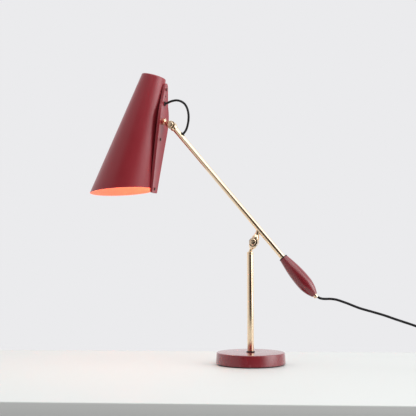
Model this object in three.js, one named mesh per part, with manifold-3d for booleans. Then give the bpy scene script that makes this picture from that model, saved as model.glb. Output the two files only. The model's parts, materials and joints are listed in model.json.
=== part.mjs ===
// Architect desk lamp: a round iron base, a fixed brass stem, one long brass arm that tilts on a
// half-lap knuckle, an egg-shaped counterweight, and a tall conical shade on a second knuckle.
// Millimetres, +Z up. The origin is the centre of the base's underside. The arm swings in the
// XZ plane, with the shade towards -X and the counterweight towards +X.

import * as THREE from 'three';
import { mergeVertices } from 'three/addons/utils/BufferGeometryUtils.js';
import Module from 'manifold-3d';

const wasm = await Module();
wasm.setup();

// ------------------------------------------------------------------ sizes
const degree = Math.PI / 180;
const gap = 0.3; // room between two pieces that touch
const far = 400; // longer than any piece that a cutter has to pass through
const wideSides = 56; // facets round the base and the shade
const roundSides = 24; // facets round a tube, lug or screw
const smallSides = 16; // facets round a small hole, pin or stud

// Base
const baseTopDiameter = 157;
const baseBottomDiameter = 160;
const baseHeight = 25.2;
const baseEdgeRadius = 2;
const feltDiameter = 150;
const feltThickness = 2;
const nutRecessDiameter = 40;
const nutRecessDepth = 11;

// Stem
const stemDiameter = 15;
const stemWall = 1.5;
const stemLength = 222;
const stemCapHeight = 5.7;
const stemSpigotLength = 12;
const footWasherDiameter = 19.5;
const footWasherThickness = 2;
const tieRodDiameter = 6;
const tieRodInCap = 8.5;
const rodNutDiameter = 14;
const rodNutHeight = 5;
const rodWasherDiameter = 24;
const rodWasherThickness = 1.5;

// Knuckles, two alike: half-lap lugs held by a clamp screw along Y
const lugEyeRadius = 10;
const lugHalfThickness = 9;
const lapHalfGap = 0.9;
const lapClearance = 1.3;
const shoulderRadius = 9;
const clampShankDiameter = 6;
const clampHeadDiameter = 14;
const clampHeadHeight = 4.6;
const clampSlotWidth = 1.6;
const clampSlotDepth = 1.4;
const clampNutDiameter = 13;
const clampNutHeight = 4;
const frictionWasherDiameter = 18.8;

// Stem knuckle
const stemPivotOut = 9.5; // from the stem's axis to the pivot
const stemPivotRise = 22.9; // from the top of the stem's cap to the pivot
const stemNeckRadius = 4;
const armNeckRadius = 5.5;
const armNeckReach = 29;
const lugStudLength = 9;

// Arm
const armSlope = 50 * degree; // below the horizontal, towards the counterweight
const armDiameter = 13;
const armWall = 1;
const armOffset = 28.6; // from the stem pivot to the arm's axis
const armReach = 335; // from the stem pivot's foot on the arm to the tube's shade end
const armTail = 95; // the same, to the tube's other end, inside the counterweight
const armEndSpigot = 13;
const armCordHole = 315;
const armGrommetRadius = 4.2;
const armGrommetFlangeRadius = 5.5;
const armGrommetRise = 1.5;

// Counterweight
const weightStart = 74;
const weightLength = 109;
const weightStartRadius = 10.1;
const weightFullRadius = 17.25;
const weightTipRadius = 7;
const weightCollarDiameter = 20.5;
const weightCollarWidth = 2.2;
const ferruleLength = 25;
const ferruleProud = 7;
const ferruleRadius = 5;
const ferruleTipRadius = 4.3;

// Leads
const cordDiameter = 5.5;
const cordSides = 10;
const cordStep = 2.4; // cord diameters from one section to the next

// Shade
const shadePivotReach = 350; // along the arm, from the stem pivot's foot
const shadeLean = 15.05 * degree; // the cone's axis from the vertical
const mouthRadius = 76.4; // outside, where the cone's axis meets the mouth
const shadeHeight = 290;
const shadeTaper = 0.1575; // radius lost per millimetre of height
const shadeWall = 1.2;
const mouthSlope = 18.4 * degree;
const capEdgeRadius = 3;
const capRise = 6;
const capSkirt = 6;
const shadePivotOut = 30.6; // from the cone's back line to the pivot
const shadePivotUp = 182; // along the back line

// Back plate
const plateBottom = 14;
const plateTop = 285;
const plateBottomHalfWidth = 17.6;
const plateFullHalfWidth = 33.5;
const plateThickness = 1.5;
const plateDishRadius = 102;
const plateFootOffset = 2.85; // outer face from the cone's back line, at the mouth
const plateTilt = 0.65 * degree;
const plateScrewPlaces = [24, 146, 270];
const plateScrewDiameter = 3.4;
const plateScrewHeadDiameter = 7.4;
const plateScrewHeadHeight = 2;
const plateNutDiameter = 7;
const plateNutHeight = 2.4;
const plateSpacerDiameter = 8;
const ventPlace = 253;
const ventDiameter = 4.5;
const leadPlace = 234.5;
const leadGrommetBore = 7.6;
const leadGrommetDiameter = 9.6;
const leadGrommetFlangeDiameter = 12.5;
const leadGrommetRise = 1.6;
const stubPlace = 190;
const stubDiameter = 16;
const stubHeight = 7;
const stubStudDiameter = 6;
const stubNutDiameter = 12;
const stubNutHeight = 4;

// Lampholder and bulb, on the cone's axis; heights are from the mouth
const holderDiameter = 38;
const holderFoot = 150;
const holderHeight = 50;
const holderSocketDepth = 16;
const nippleDiameter = 10;
const nippleHeight = 12;
const bracketHeight = 204;
const bracketThickness = 1.5;
const bracketWidth = 16;
const bracketReach = 12;
const bracketFoot = 178;
const bracketWallRoom = 1.1;
const bulbDiameter = 45;
const bulbCapDiameter = 26;
const bulbCapLength = 26;
const bulbNeckRadius = 12;
const bulbNeckLength = 5;

// Mains lead's switch, coil and plug, lying on the table beyond the counterweight
const switchCentre = { x: 559, y: -13.5 };
const switchLength = 52;
const switchWidth = 20;
const switchHeight = 14;
const switchEndWidth = 11;
const switchEdge = 2;
const switchSplit = 7;
const rockerPivotHeight = 10.5;
const rockerLength = 15;
const rockerWidth = 8;
const rockerRest = 8 * degree;
const trunnionRadius = 1.2;
const trunnionReach = 5.6;
const coilCentre = { x: 606, y: 38 };
const coilMeanRadius = 30;
const coilColumns = 3;
const coilLayers = 2;
const tieThickness = 1.2;
const tieWidth = 8;
const tieAngle = 225 * degree;
const plugRear = 574;
const plugLength = 35;
const plugWidth = 24;
const plugHeight = 13.6;
const plugBootWidth = 9;
const plugEdge = 2;
const pinDiameter = 4;
const pinLength = 19;
const pinSpacing = 19;

// The lead's own route, chosen by hand: x, y, z of its middle
const mainsUpperRoute = [
  [156.1, 0, 155.3], [160, 0, 152.9], [166, 0, 151.3], [173, 0, 150.9], [184, 0, 151.1],
  [197, 0, 149.6], [210, 0, 145.6], [223, 0, 141], [248, 0, 131.4], [275, 0, 123.8],
  [301, 0, 116.4], [326, 0, 107.9], [352, 0, 99.5], [368, 0, 94.2], [395, 0, 84.5],
  [415.7, 1, 73.5], [436.4, 4, 60.5], [455.5, 9, 46], [473.7, 16, 31], [490.3, 24, 18.5],
  [506.9, 32, 9], [521, 37, 4.2], [534, 38, 3], [546, 35, 3.3], [554.8, 27.5, 4.9],
  [558.9, 19, 6.6], [559, 13.1, 7],
];
const mainsLowerRoute = [
  [559, -40.1, 7], [559.1, -45.5, 6.6], [562, -54, 4.6], [570, -61.5, 3], [580, -65.5, 2.75],
  [591, -66, 2.75], [605, -61, 2.75], [619, -49, 2.75], [630, -32, 2.75], [637, -12, 2.75],
  [640.6, 6, 2.75], [641.4, 17.4, 2.75],
];
const mainsTailRoute = [[585.5, 73.5, 8], [580, 73.5, 7.2], [574.4, 73.5, 6.9]];
const shadeLoopRoute = [
  [-221.5, 0, 623.4], [-216.5, 0, 622.7], [-211.5, 0, 622.6], [-204.5, 0, 624.6], [-194, 0, 628],
  [-182, 0, 629.1], [-171, 0, 626], [-161.5, 0, 619], [-155, 0, 608], [-151.6, 0, 594],
  [-151.4, 0, 579], [-153.6, 0, 566], [-156.4, 0, 557], [-160.5, 0, 549.9],
  [-165.2, 0, 545.6], [-168.7, 0, 542.65],
];
const holderLeadRoute = [
  [36.3, 0, 231.1], [28, 0, 231.2], [16, 0, 229.6], [5, 0, 224.5], [0.4, 0, 218.5], [0, 0, 212.6],
];

// ------------------------------------------------------------------ finishes
const burgundyEnamel = { color: '#7d2d32', roughness: 0.35, metalness: 0.1 };
const satinBrass = { color: '#d2b48a', roughness: 0.35, metalness: 1 };
const darkBrass = { color: '#7a6248', roughness: 0.4, metalness: 1 };
const plainSteel = { color: '#a8a8a6', roughness: 0.45, metalness: 1 };
const blackTextile = { color: '#1c1a1a', roughness: 0.9, metalness: 0 };
const blackPlastic = { color: '#202022', roughness: 0.5, metalness: 0 };
const blackRubber = { color: '#17171a', roughness: 0.75, metalness: 0 };
const greyFelt = { color: '#2a2a2c', roughness: 1, metalness: 0 };
const opalGlass = { color: '#fff4e0', roughness: 0.25, metalness: 0 };
const whitePorcelain = { color: '#e6e2d8', roughness: 0.3, metalness: 0 };

// ------------------------------------------------------------------ tools
// A body turned about Z from its (radius, height) profile.
function turned(profile, segments = roundSides) {
  return turnedAcross(profile, segments).rotateX(Math.PI / 2);
}

// The same about X, its heights running along +X.
function turnedAlong(profile, segments = roundSides) {
  return turned(profile, segments).rotateY(Math.PI / 2);
}

// The same about Y, its heights running along +Y.
function turnedAcross(profile, segments = roundSides) {
  const points = profile.map(([radius, height]) => new THREE.Vector2(radius, height));
  return new THREE.LatheGeometry(points, segments);
}

function rodProfile(radius, start, end) {
  return [[0, start], [radius, start], [radius, end], [0, end]];
}

function ringProfile(inner, outer, start, end) {
  return [[inner, start], [outer, start], [outer, end], [inner, end], [inner, start]];
}

function block(width, depth, height, x, y, z) {
  return new THREE.BoxGeometry(width, depth, height).translate(x, y, z);
}

// A closed mesh as a solid that can be joined and cut.
function solidOf(geometry) {
  const bare = geometry.clone();
  bare.deleteAttribute('normal');
  bare.deleteAttribute('uv');
  const merged = mergeVertices(bare, 1e-4);
  const corners = merged.index.array;
  const triangles = [];
  for (let i = 0; i < corners.length; i += 3) {
    const [a, b, c] = [corners[i], corners[i + 1], corners[i + 2]];
    if (a !== b && b !== c && c !== a) {
      triangles.push(a, b, c);
    }
  }
  const mesh = new wasm.Mesh({
    numProp: 3,
    vertProperties: new Float32Array(merged.attributes.position.array),
    triVerts: new Uint32Array(triangles),
  });
  return new wasm.Manifold(mesh);
}

function geometryOf(solid) {
  const mesh = solid.getMesh();
  const geometry = new THREE.BufferGeometry();
  geometry.setAttribute('position', new THREE.BufferAttribute(mesh.vertProperties, 3));
  geometry.setIndex(new THREE.BufferAttribute(mesh.triVerts, 1));
  return geometry;
}

function joined(first, ...others) {
  return geometryOf(others.reduce((solid, other) => solid.add(solidOf(other)), solidOf(first)));
}

function cut(body, ...cutters) {
  return geometryOf(
    cutters.reduce((solid, cutter) => solid.subtract(solidOf(cutter)), solidOf(body)),
  );
}

function common(first, second) {
  return geometryOf(solidOf(first).intersect(solidOf(second)));
}

function addPiece(parent, name, geometry, finish) {
  const mesh = new THREE.Mesh(geometry, new THREE.MeshStandardMaterial(finish));
  mesh.name = name;
  parent.add(mesh);
}

// A lead as a tube of flat sections along its route.
function lead(route) {
  const radius = cordDiameter / 2;
  const section = new THREE.Shape();
  for (let i = 0; i < cordSides; i += 1) {
    const angle = (2 * Math.PI * i) / cordSides;
    const corner = [radius * Math.cos(angle), radius * Math.sin(angle)];
    if (i === 0) {
      section.moveTo(...corner);
    } else {
      section.lineTo(...corner);
    }
  }
  section.closePath();
  const curve = new THREE.CatmullRomCurve3(route.map((point) => new THREE.Vector3(...point)));
  const steps = Math.max(2, Math.ceil(curve.getLength() / (cordStep * cordDiameter)));
  return new THREE.ExtrudeGeometry(section, { steps, extrudePath: curve, bevelEnabled: false });
}

// A cylinder along Y between two places, for eyes, bores and cutters.
function crossRod(radius, start, end) {
  return turnedAcross(rodProfile(radius, Math.min(start, end), Math.max(start, end)));
}

// ------------------------------------------------------------------ shared by the knuckles
// One lug: its eye is at the origin, on the given side of y = 0, and its neck points along +Z.
// The neck is a list of radii and distances from the pivot.
function lugGeometry(side, neck) {
  const lapFace = side * lapHalfGap;
  const eye = crossRod(lugEyeRadius, lapFace, side * lugHalfThickness);
  const neckEnd = neck[neck.length - 1][1];
  const shank = turned([[0, 0], [shoulderRadius, 0], ...neck, [0, neckEnd]]);
  const mateRoom = crossRod(lugEyeRadius + lapClearance, -side * far, lapFace);
  const bore = crossRod(clampShankDiameter / 2 + gap, -far, far);
  return cut(joined(eye, shank), mateRoom, bore);
}

// The clamp screw, its nut and the friction washer between the lugs, all on the pivot.
function addClamp(parent, prefix) {
  const headFace = lugHalfThickness + gap;
  const front = headFace + clampHeadHeight;
  const nutEnd = headFace + clampNutHeight;
  const screw = turnedAcross([
    [0, -front], [clampHeadDiameter / 2 - 1, -front], [clampHeadDiameter / 2, -front + 1],
    [clampHeadDiameter / 2, -headFace], [clampShankDiameter / 2, -headFace],
    [clampShankDiameter / 2, nutEnd + 1], [0, nutEnd + 1],
  ]);
  const slot = block(far, clampSlotDepth * 2, clampSlotWidth, 0, -front, 0);
  addPiece(parent, `${prefix}_clamp_screw`, cut(screw, slot), satinBrass);
  const nut = new THREE.CylinderGeometry(clampNutDiameter / 2, clampNutDiameter / 2,
    clampNutHeight, 6).translate(0, (headFace + nutEnd) / 2, 0);
  const thread = crossRod(clampShankDiameter / 2 + gap, -far, far);
  addPiece(parent, `${prefix}_clamp_nut`, cut(nut, thread), satinBrass);
  const washer = turnedAcross(ringProfile(clampShankDiameter / 2 + gap,
    frictionWasherDiameter / 2, -lapHalfGap + gap, lapHalfGap - gap));
  addPiece(parent, `${prefix}_friction_washer`, washer, blackPlastic);
}

const lamp = new THREE.Group();

// ------------------------------------------------------------------ base
const baseFoot = feltThickness + gap;
const baseTop = baseFoot + baseHeight;
const recessTop = baseFoot + nutRecessDepth;
const rodWasherFoot = recessTop - gap - rodWasherThickness;
const rodNutFoot = rodWasherFoot - gap - rodNutHeight;
const rodFoot = rodNutFoot - 1;
const stemFoot = baseTop + gap + footWasherThickness + gap;
const capFoot = stemFoot + stemLength + gap;
const capTop = capFoot + stemCapHeight;

function addBase() {
  addPiece(lamp, 'felt_pad', turned(rodProfile(feltDiameter / 2, 0, feltThickness), wideSides), greyFelt);

  const topRadius = baseTopDiameter / 2;
  const disc = [[0, baseFoot], [baseBottomDiameter / 2, baseFoot]];
  const edgeSteps = 3;
  for (let i = 0; i <= edgeSteps; i += 1) {
    const angle = (i / edgeSteps) * (Math.PI / 2);
    disc.push([
      topRadius - baseEdgeRadius + baseEdgeRadius * Math.cos(angle),
      baseTop - baseEdgeRadius + baseEdgeRadius * Math.sin(angle),
    ]);
  }
  disc.push([0, baseTop]);
  const recess = turned(rodProfile(nutRecessDiameter / 2, -far, recessTop));
  const bore = turned(rodProfile(tieRodDiameter / 2 + gap, -far, far));
  addPiece(lamp, 'base_weight', cut(turned(disc, wideSides), recess, bore), burgundyEnamel);

  const nut = new THREE.CylinderGeometry(rodNutDiameter / 2, rodNutDiameter / 2, rodNutHeight, 6)
    .rotateX(Math.PI / 2)
    .translate(0, 0, rodNutFoot + rodNutHeight / 2);
  addPiece(lamp, 'base_nut', cut(nut, bore), plainSteel);
  const washer = turned(ringProfile(tieRodDiameter / 2 + gap, rodWasherDiameter / 2,
    rodWasherFoot, rodWasherFoot + rodWasherThickness));
  addPiece(lamp, 'base_nut_washer', washer, plainSteel);
}

// ------------------------------------------------------------------ stem
function addStem() {
  const footWasher = turned(ringProfile(tieRodDiameter / 2 + gap, footWasherDiameter / 2,
    baseTop + gap, baseTop + gap + footWasherThickness));
  addPiece(lamp, 'foot_washer', footWasher, blackPlastic);

  const stemRadius = stemDiameter / 2;
  const stemBore = stemRadius - stemWall;
  const tube = turned(ringProfile(stemBore, stemRadius, stemFoot, stemFoot + stemLength));
  addPiece(lamp, 'stem_tube', tube, satinBrass);

  const spigotFoot = capFoot - gap - stemSpigotLength;
  const threadRadius = tieRodDiameter / 2 + gap;
  const cap = turned([
    [threadRadius, spigotFoot], [stemBore - gap, spigotFoot], [stemBore - gap, capFoot],
    [stemRadius, capFoot], [stemRadius, capTop - 0.8], [stemRadius - 0.8, capTop],
    [threadRadius, capTop], [threadRadius, spigotFoot],
  ]);
  addPiece(lamp, 'stem_cap', cap, satinBrass);

  const rod = turned(rodProfile(tieRodDiameter / 2, rodFoot, spigotFoot + tieRodInCap), smallSides);
  addPiece(lamp, 'stem_rod', rod, plainSteel);
}

// ------------------------------------------------------------------ stem knuckle
const stemPivot = new THREE.Vector3(stemPivotOut, 0, capTop + stemPivotRise);
const knuckleLean = Math.atan2(stemPivotOut, stemPivotRise);

function addStemKnuckle() {
  const reach = Math.hypot(stemPivotOut, stemPivotRise);
  const neck = [
    [shoulderRadius, 10.5], [shoulderRadius - 1, 13], [stemNeckRadius + 1, 16.5],
    [stemNeckRadius, 18], [stemNeckRadius, reach + stemNeckRadius],
  ];
  const lug = lugGeometry(1, neck)
    .rotateY(knuckleLean + Math.PI)
    .translate(stemPivot.x, 0, stemPivot.z);
  const belowCap = block(far, far, far, 0, 0, capTop + gap - far / 2);
  const stud = turned(rodProfile(tieRodDiameter / 2, capTop - lugStudLength, capTop + 2), smallSides);
  addPiece(lamp, 'stem_lug', joined(cut(lug, belowCap), stud), satinBrass);

  const clamp = new THREE.Group();
  clamp.position.copy(stemPivot);
  addClamp(clamp, 'stem');
  lamp.add(clamp);
}

// ------------------------------------------------------------------ arm
// Its frame is at the stem pivot, +X along the arm towards the counterweight.
const arm = new THREE.Group();
arm.position.copy(stemPivot);
arm.rotation.y = armSlope;
const armRadius = armDiameter / 2;
const armBore = armRadius - armWall;

function addArm() {
  const lugLean = knuckleLean - armSlope;
  const neck = [
    [shoulderRadius, 10.5], [shoulderRadius - 1, 13], [armNeckRadius + 1, 16.5],
    [armNeckRadius, 18], [armNeckRadius, armNeckReach],
  ];
  const tubeRoom = turnedAlong(rodProfile(armRadius + gap, -far, far)).translate(0, 0, armOffset);
  const lug = cut(lugGeometry(-1, neck).rotateY(lugLean), tubeRoom);
  addPiece(arm, 'arm_lug', lug, satinBrass);

  const tube = turnedAlong(ringProfile(armBore, armRadius, -armReach, armTail))
    .translate(0, 0, armOffset);
  const cordHole = turned(rodProfile(armGrommetRadius + gap, armOffset, armOffset + far))
    .translate(-armCordHole, 0, 0);
  addPiece(arm, 'arm_tube', cut(tube, cordHole), satinBrass);

  const flange = turned(rodProfile(armGrommetFlangeRadius, armOffset,
    armOffset + armRadius + armGrommetRise)).translate(-armCordHole, 0, 0);
  const plugFoot = armOffset + armBore - gap;
  const sleeve = turned(rodProfile(armGrommetRadius, plugFoot, armOffset + armRadius + 1))
    .translate(-armCordHole, 0, 0);
  const cordBore = turned(rodProfile(cordDiameter / 2 + 2 * gap, 0, far))
    .translate(-armCordHole, 0, 0);
  const grommet = cut(joined(cut(flange, tubeRoom), sleeve), cordBore);
  addPiece(arm, 'arm_grommet', grommet, blackRubber);

  const endReach = shadePivotReach - armReach;
  const endNeck = [
    [shoulderRadius, 9.5], [armRadius + 1, 12.5], [armRadius, endReach - gap],
    [armBore - gap, endReach - gap], [armBore - gap, endReach + armEndSpigot],
  ];
  const endLug = lugGeometry(-1, endNeck)
    .rotateY(Math.PI / 2)
    .translate(-shadePivotReach, 0, armOffset);
  addPiece(arm, 'arm_end_lug', endLug, satinBrass);

  const leadEnd = weightStart + weightLength + ferruleProud - ferruleLength - gap;
  const innerLead = turnedAlong(rodProfile(cordDiameter / 2, -armCordHole - 4, leadEnd), cordSides)
    .translate(0, 0, armOffset);
  addPiece(arm, 'arm_lead', innerLead, blackTextile);
}

// ------------------------------------------------------------------ counterweight
function addCounterweight() {
  const collar = turnedAlong(ringProfile(armRadius + gap, weightCollarDiameter / 2,
    weightStart - gap - weightCollarWidth, weightStart - gap)).translate(0, 0, armOffset);
  addPiece(arm, 'counterweight_collar', collar, blackRubber);

  // The egg's outline: a slow swell to its full radius at 0.57 of its length, then a round nose.
  const outline = new THREE.SplineCurve([
    [weightStartRadius, 0], [weightStartRadius + 2.75, 0.147], [weightFullRadius - 2.25, 0.275],
    [weightFullRadius - 0.8, 0.404], [weightFullRadius, 0.57], [weightFullRadius - 0.65, 0.734],
    [weightFullRadius - 3.75, 0.862], [weightFullRadius - 6.05, 0.917],
    [weightTipRadius + 0.9, 0.982], [weightTipRadius, 1],
  ].map(([radius, share]) => new THREE.Vector2(radius, weightStart + share * weightLength)));
  const skin = outline.getPoints(16).map((point) => [point.x, point.y]);
  const weightEnd = weightStart + weightLength;
  const tubeSeat = armTail + gap;
  const ferruleSeat = weightEnd + ferruleProud - ferruleLength - gap;
  const leadBore = cordDiameter / 2 + gap;
  const weight = turnedAlong([
    ...skin,
    [ferruleRadius + gap, weightEnd], [ferruleRadius + gap, ferruleSeat],
    [leadBore, ferruleSeat], [leadBore, tubeSeat],
    [armRadius + gap, tubeSeat], [armRadius + gap, weightStart], skin[0],
  ], 32).translate(0, 0, armOffset);
  addPiece(arm, 'counterweight', weight, burgundyEnamel);

  const ferruleEnd = weightEnd + ferruleProud;
  const ferrule = turnedAlong([
    [leadBore, ferruleEnd - ferruleLength], [ferruleRadius, ferruleEnd - ferruleLength],
    [ferruleRadius, weightEnd + 2], [ferruleTipRadius, ferruleEnd],
    [leadBore, ferruleEnd], [leadBore, ferruleEnd - ferruleLength],
  ]).translate(0, 0, armOffset);
  addPiece(arm, 'end_ferrule', ferrule, satinBrass);
}

// ------------------------------------------------------------------ shade
// The cone's frame has its origin where the axis meets the mouth, +Z up the axis and +X to the
// back. The back frame lies on the cone's back line: +Z along it and +X straight out of it.
const backLean = Math.atan(shadeTaper);
const shade = new THREE.Group();
const back = new THREE.Group();
back.position.set(mouthRadius, 0, 0);
back.rotation.y = -backLean;
back.updateMatrix();
shade.add(back);

function placeShade() {
  const pivot = new THREE.Vector3(shadePivotOut, 0, shadePivotUp).applyMatrix4(back.matrix);
  shade.rotation.y = shadeLean;
  const armPivot = new THREE.Vector3(-shadePivotReach, 0, armOffset);
  arm.updateMatrix();
  armPivot.applyMatrix4(arm.matrix);
  shade.position.copy(armPivot).sub(pivot.applyEuler(shade.rotation));
}

function coneRadius(height) {
  return mouthRadius - shadeTaper * height;
}

const wallAcross = shadeWall / Math.cos(backLean);

// A cylinder straight out of the cone's back line, between two distances from it.
function backRod(radius, place, start, end, segments = smallSides) {
  return turnedAlong(rodProfile(radius, start, end), segments).translate(0, 0, place);
}

function onCone(geometry) {
  return geometry.applyMatrix4(back.matrix);
}

function addShadeShell() {
  const below = -mouthRadius * Math.tan(mouthSlope) - 10;
  const shell = turned([
    [coneRadius(below) - wallAcross, below], [coneRadius(below), below],
    [coneRadius(shadeHeight), shadeHeight], [coneRadius(shadeHeight) - wallAcross, shadeHeight],
    [coneRadius(below) - wallAcross, below],
  ], wideSides);
  const mouthCut = block(far, far, far, 0, 0, -far / 2).rotateY(-mouthSlope);
  const holes = plateScrewPlaces.map((place) =>
    onCone(backRod(plateScrewDiameter / 2 + gap, place, -10, 10)));
  holes.push(onCone(backRod(stubStudDiameter / 2 + gap, stubPlace, -10, 10)));
  holes.push(onCone(backRod(leadGrommetDiameter / 2 + gap, leadPlace, -10, 10)));
  addPiece(shade, 'shade_cone', cut(shell, mouthCut, ...holes), burgundyEnamel);

  const rim = coneRadius(shadeHeight);
  const capFace = shadeHeight + gap;
  const skirt = rim - wallAcross - gap;
  const dome = [];
  const domeSteps = 4;
  for (let i = 0; i <= domeSteps; i += 1) {
    const radius = (rim - capEdgeRadius) * (1 - i / domeSteps);
    const share = radius / (rim - capEdgeRadius);
    dome.push([radius, capFace + capEdgeRadius + (capRise - capEdgeRadius) * (1 - share ** 2)]);
  }
  const cap = turned([
    [0, capFace], [skirt - shadeWall, capFace], [skirt - shadeWall, capFace - capSkirt],
    [skirt, capFace - capSkirt], [skirt, capFace], [rim, capFace],
    [rim - 0.15 * capEdgeRadius, capFace + 0.6 * capEdgeRadius], ...dome,
  ], wideSides);
  addPiece(shade, 'shade_top_cap', cap, burgundyEnamel);
}

// ------------------------------------------------------------------ back plate
// Distance of the plate's outer face from the cone's back line at a place along it.
function plateFace(place) {
  return plateFootOffset + place * Math.tan(plateTilt);
}

// Where something round seats on the plate's dished outer face: its rim touches first.
function plateSeat(place, radius) {
  return plateFace(place) + radius ** 2 / (2 * plateDishRadius) + gap;
}

function plateOutline() {
  const foot = plateBottomHalfWidth;
  const full = plateFullHalfWidth;
  const outline = new THREE.Shape();
  outline.moveTo(0, plateBottom);
  outline.lineTo(foot - 8, plateBottom);
  outline.quadraticCurveTo(foot - 0.6, plateBottom, foot, plateBottom + 10);
  outline.lineTo(full - 2.9, plateTop - 123);
  outline.bezierCurveTo(full, plateTop - 93, full - 4, plateTop - 69, full - 12, plateTop - 54);
  outline.lineTo(full - 21, plateTop - 18);
  outline.bezierCurveTo(full - 24.5, plateTop - 4, full - 28, plateTop, 0, plateTop);
  outline.bezierCurveTo(28 - full, plateTop, 24.5 - full, plateTop - 4, 21 - full, plateTop - 18);
  outline.lineTo(12 - full, plateTop - 54);
  outline.bezierCurveTo(4 - full, plateTop - 69, -full, plateTop - 93, 2.9 - full, plateTop - 123);
  outline.lineTo(-foot, plateBottom + 10);
  outline.quadraticCurveTo(0.6 - foot, plateBottom, 8 - foot, plateBottom);
  outline.closePath();
  return outline;
}

function addBackPlate() {
  const outlineDepth = 30;
  const sheetOutline = new THREE.ExtrudeGeometry(plateOutline(), {
    depth: outlineDepth, bevelEnabled: false, curveSegments: 8,
  }).rotateX(Math.PI / 2).rotateZ(Math.PI / 2).translate(-10, 0, 0);
  const dishHalfAngle = 22 * degree;
  const dish = new THREE.Shape();
  dish.absarc(plateDishRadius, 0, plateDishRadius + plateThickness,
    Math.PI - dishHalfAngle, Math.PI + dishHalfAngle, false);
  dish.absarc(plateDishRadius, 0, plateDishRadius,
    Math.PI + dishHalfAngle, Math.PI - dishHalfAngle, true);
  dish.closePath();
  const sheet = new THREE.ExtrudeGeometry(dish, {
    depth: plateTop + 10, bevelEnabled: false, curveSegments: 12,
  }).rotateY(plateTilt).translate(plateFootOffset, 0, 0);
  const holes = plateScrewPlaces.map((place) =>
    backRod(plateScrewDiameter / 2 + gap, place, -10, 20));
  holes.push(backRod(stubStudDiameter / 2 + gap, stubPlace, -10, 20));
  holes.push(backRod(leadGrommetDiameter / 2 + gap, leadPlace, -10, 20));
  holes.push(backRod(ventDiameter / 2, ventPlace, -10, 20));
  addPiece(back, 'back_plate', cut(common(sheetOutline, sheet), ...holes), burgundyEnamel);
}

function addPlateFasteners() {
  const shank = plateScrewDiameter / 2;
  const head = plateScrewHeadDiameter / 2;
  plateScrewPlaces.forEach((place, index) => {
    const face = plateSeat(place, head);
    const innerRadius = coneRadius(place * Math.cos(backLean)) - wallAcross;
    const nutSag = (plateNutDiameter / 2) ** 2 / (2 * innerRadius);
    const nutFace = -shadeWall - nutSag - gap;
    const nutEnd = nutFace - plateNutHeight;
    const screw = turnedAlong([
      [0, nutEnd - 1], [shank, nutEnd - 1], [shank, face], [head, face],
      [head, face + plateScrewHeadHeight * 0.45], [head * 0.7, face + plateScrewHeadHeight * 0.9],
      [0, face + plateScrewHeadHeight],
    ], smallSides).translate(0, 0, place);
    addPiece(back, `plate_screw_${index + 1}`, screw, satinBrass);

    const nut = backRod(plateNutDiameter / 2, place, nutEnd, nutFace, 6);
    const thread = backRod(shank + gap, place, nutEnd - 5, nutFace + 5);
    addPiece(back, `plate_nut_${index + 1}`, cut(nut, thread), plainSteel);

    const spacerEnd = plateFace(place) - plateThickness - gap;
    const spacer = turnedAlong(ringProfile(shank + gap, plateSpacerDiameter / 2, gap, spacerEnd),
      smallSides)
      .translate(0, 0, place);
    addPiece(back, `plate_spacer_${index + 1}`, spacer, burgundyEnamel);
  });

  const bore = leadGrommetBore / 2;
  const sleeve = leadGrommetDiameter / 2;
  const flange = leadGrommetFlangeDiameter / 2;
  const flangeFace = plateSeat(leadPlace, flange);
  const grommet = turnedAlong([
    [bore, -shadeWall - 1], [sleeve, -shadeWall - 1], [sleeve, flangeFace],
    [flange, flangeFace], [flange - 0.6, flangeFace + leadGrommetRise],
    [bore, flangeFace + leadGrommetRise], [bore, -shadeWall - 1],
  ]).translate(0, 0, leadPlace);
  addPiece(back, 'plate_grommet', grommet, blackRubber);
}

// ------------------------------------------------------------------ shade knuckle
const bracketFace = shadeWall + bracketWallRoom + bracketThickness;

function addShadeKnuckle() {
  const face = plateSeat(stubPlace, stubDiameter / 2);
  const toStub = new THREE.Vector2(face + stubHeight / 2 - shadePivotOut, stubPlace - shadePivotUp);
  const reach = toStub.length();
  const neck = [
    [shoulderRadius, 10.5], [shoulderRadius - 1, 12.5], [6.5, 15], [6.5, reach],
  ];
  const lug = lugGeometry(1, neck)
    .rotateY(Math.atan2(toStub.x, toStub.y))
    .translate(shadePivotOut, 0, shadePivotUp);
  const stub = backRod(stubDiameter / 2, stubPlace, face, face + stubHeight, roundSides);
  const nutFace = -bracketFace - gap;
  const nutEnd = nutFace - stubNutHeight;
  const stud = backRod(stubStudDiameter / 2, stubPlace, nutEnd - 1, face + 2);
  addPiece(back, 'shade_lug', joined(lug, stub, stud), satinBrass);

  const nut = backRod(stubNutDiameter / 2, stubPlace, nutEnd, nutFace, 6);
  const thread = backRod(stubStudDiameter / 2 + gap, stubPlace, nutEnd - 5, nutFace + 5);
  addPiece(back, 'stub_nut', cut(nut, thread), plainSteel);

  const clamp = new THREE.Group();
  clamp.position.set(shadePivotOut, 0, shadePivotUp);
  addClamp(clamp, 'shade');
  back.add(clamp);
}

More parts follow.
